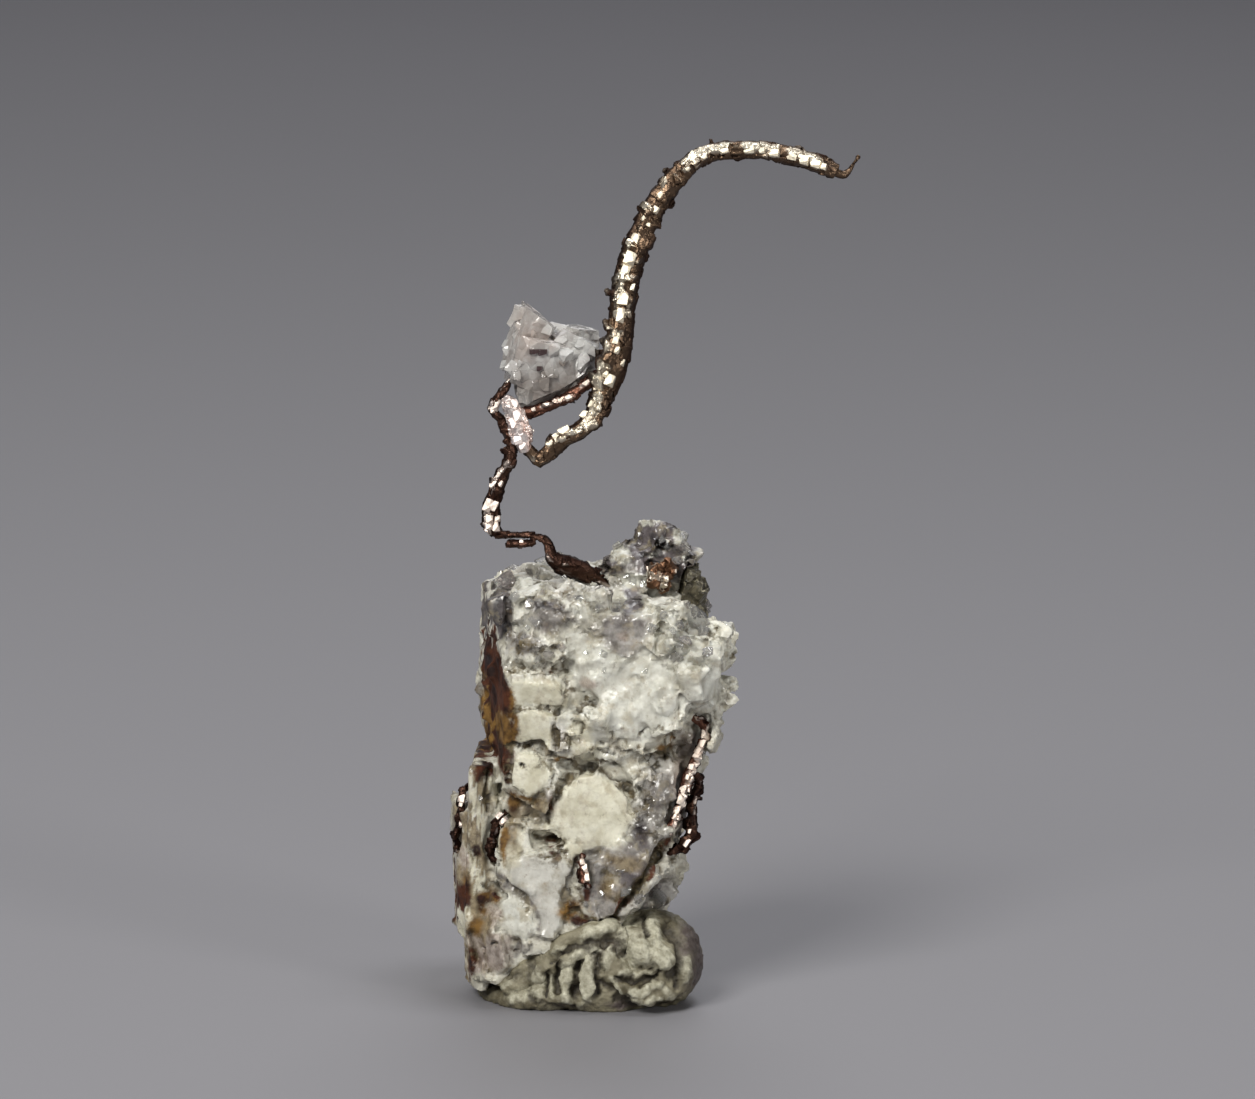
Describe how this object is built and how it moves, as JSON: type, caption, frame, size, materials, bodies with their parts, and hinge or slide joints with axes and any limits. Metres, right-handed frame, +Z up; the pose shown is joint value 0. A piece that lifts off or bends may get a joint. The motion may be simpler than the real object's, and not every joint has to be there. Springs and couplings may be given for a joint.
{
  "type": "native silver in quartz",
  "caption": "Wire silver curling out of a broken column of milky quartz, with a clear quartz chip caught in its loop, standing in a pad of mounting putty.",
  "frame": {"origin": "middle of the putty's flat foot, on the surface that the specimen stands on", "axes": "+Z up along the quartz column, +X to the right towards the tip of the silver curl, -Y to the front"},
  "size_m": [0.0228, 0.0137, 0.0496],
  "materials": {
    "milky_quartz": "milky to glassy, stained brown and rust in places",
    "clear_quartz": "clear to slightly milky broken quartz",
    "bright_silver": "silver tarnished to pale bronze, with bright crystalline facets",
    "dark_silver": "silver tarnished to dark copper brown",
    "dark_ore": "dark olive, submetallic",
    "putty": "kneaded, dull, olive grey"
  },
  "bodies": {
    "root": {"quartz_matrix": "milky_quartz", "quartz_chip": "clear_quartz", "root_wire": "dark_silver", "loop_wire": "bright_silver", "chip_wire": "dark_silver", "curl_wire": "bright_silver", "right_side_wire": "dark_silver", "left_outer_wire": "dark_silver", "left_inner_wire": "dark_silver", "front_wire_tuft": "dark_silver", "silver_knot": "bright_silver", "ore_crust": "dark_ore", "mounting_putty": "putty"}
  },
  "joints": []
}
